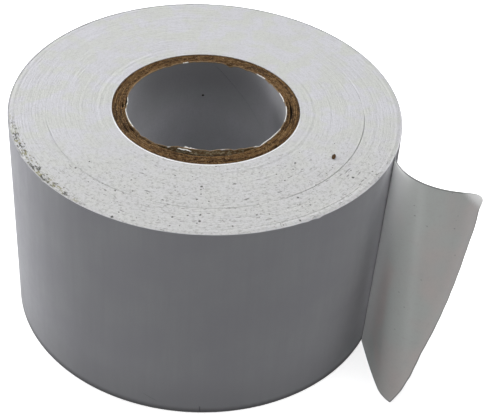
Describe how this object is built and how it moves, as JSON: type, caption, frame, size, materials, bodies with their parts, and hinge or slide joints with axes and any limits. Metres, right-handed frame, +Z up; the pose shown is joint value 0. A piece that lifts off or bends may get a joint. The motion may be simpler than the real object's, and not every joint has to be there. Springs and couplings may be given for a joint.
{
  "type": "duct tape roll",
  "caption": "Roll of white film duct tape on a spiral-wound paperboard core, standing on its flat end with its loose end peeled away and curling outwards.",
  "frame": {"origin": "centre of the core's bore on the lower face of the roll", "axes": "+Z up the bore from the face the roll stands on; the loose end leaves the roll 22 degrees from +X towards -Y"},
  "size_m": [0.1009, 0.0832, 0.05],
  "materials": {
    "liner_paper": "matte",
    "kraft_board": "matte",
    "tape_film": "satin",
    "adhesive": "satin"
  },
  "bodies": {
    "roll": {"core_liner": "liner_paper", "core_ply_1": "kraft_board", "core_ply_2": "kraft_board", "core_ply_3": "kraft_board", "core_ply_4": "kraft_board", "core_ply_5": "kraft_board", "core_ply_6": "kraft_board", "wound_tape": "tape_film", "last_turn_adhesive": "adhesive", "last_turn_film": "tape_film"},
    "tail_1": {"tail_film_1": "tape_film", "tail_adhesive_1": "adhesive"},
    "tail_2": {"tail_film_2": "tape_film", "tail_adhesive_2": "adhesive"},
    "tail_3": {"tail_film_3": "tape_film", "tail_adhesive_3": "adhesive"},
    "tail_4": {"tail_film_4": "tape_film", "tail_adhesive_4": "adhesive"},
    "tail_5": {"tail_film_5": "tape_film", "tail_adhesive_5": "adhesive"},
    "tail_6": {"tail_film_6": "tape_film", "tail_adhesive_6": "adhesive"}
  },
  "joints": [
    {"name": "tail_peel", "type": "hinge", "parent": "roll", "child": "tail_1", "pos_m": [0.03808, -0.01686, 0.02503], "axis": [0.0236, 0.0556, 0.9982], "range_deg": [-32, 45], "stiffness_Nm_per_rad": 0.0002},
    {"name": "tail_curl", "type": "hinge", "parent": "tail_1", "child": "tail_2", "pos_m": [0.0402, -0.02692, 0.02517], "axis": [-0.0385, 0.3404, 0.9395], "range_deg": [-32, 8], "stiffness_Nm_per_rad": 0.00006},
    {"name": "tail_curl_2", "type": "hinge", "parent": "tail_2", "child": "tail_3", "pos_m": [0.04234, -0.0293, 0.025], "axis": [0.0069, 0.2959, 0.9552], "range_deg": [-35, 8.75], "stiffness_Nm_per_rad": 0.00006},
    {"name": "tail_curl_3", "type": "hinge", "parent": "tail_3", "child": "tail_4", "pos_m": [0.04603, -0.03031, 0.0242], "axis": [0.0473, 0.288, 0.9565], "range_deg": [-32, 8], "stiffness_Nm_per_rad": 0.00006},
    {"name": "tail_curl_4", "type": "hinge", "parent": "tail_4", "child": "tail_5", "pos_m": [0.05016, -0.02913, 0.02255], "axis": [0.0613, 0.2929, 0.9542], "range_deg": [-24, 6], "stiffness_Nm_per_rad": 0.00006},
    {"name": "tail_curl_5", "type": "hinge", "parent": "tail_5", "child": "tail_6", "pos_m": [0.05376, -0.02602, 0.02019], "axis": [0.0529, 0.285, 0.9571], "range_deg": [-6, 1.5], "stiffness_Nm_per_rad": 0.00006}
  ],
  "couplings": [
    {"joint": "tail_curl_2", "follows": "tail_curl", "ratio": 1.0938},
    {"joint": "tail_curl_3", "follows": "tail_curl", "ratio": 1},
    {"joint": "tail_curl_4", "follows": "tail_curl", "ratio": 0.75},
    {"joint": "tail_curl_5", "follows": "tail_curl", "ratio": 0.1875}
  ]
}
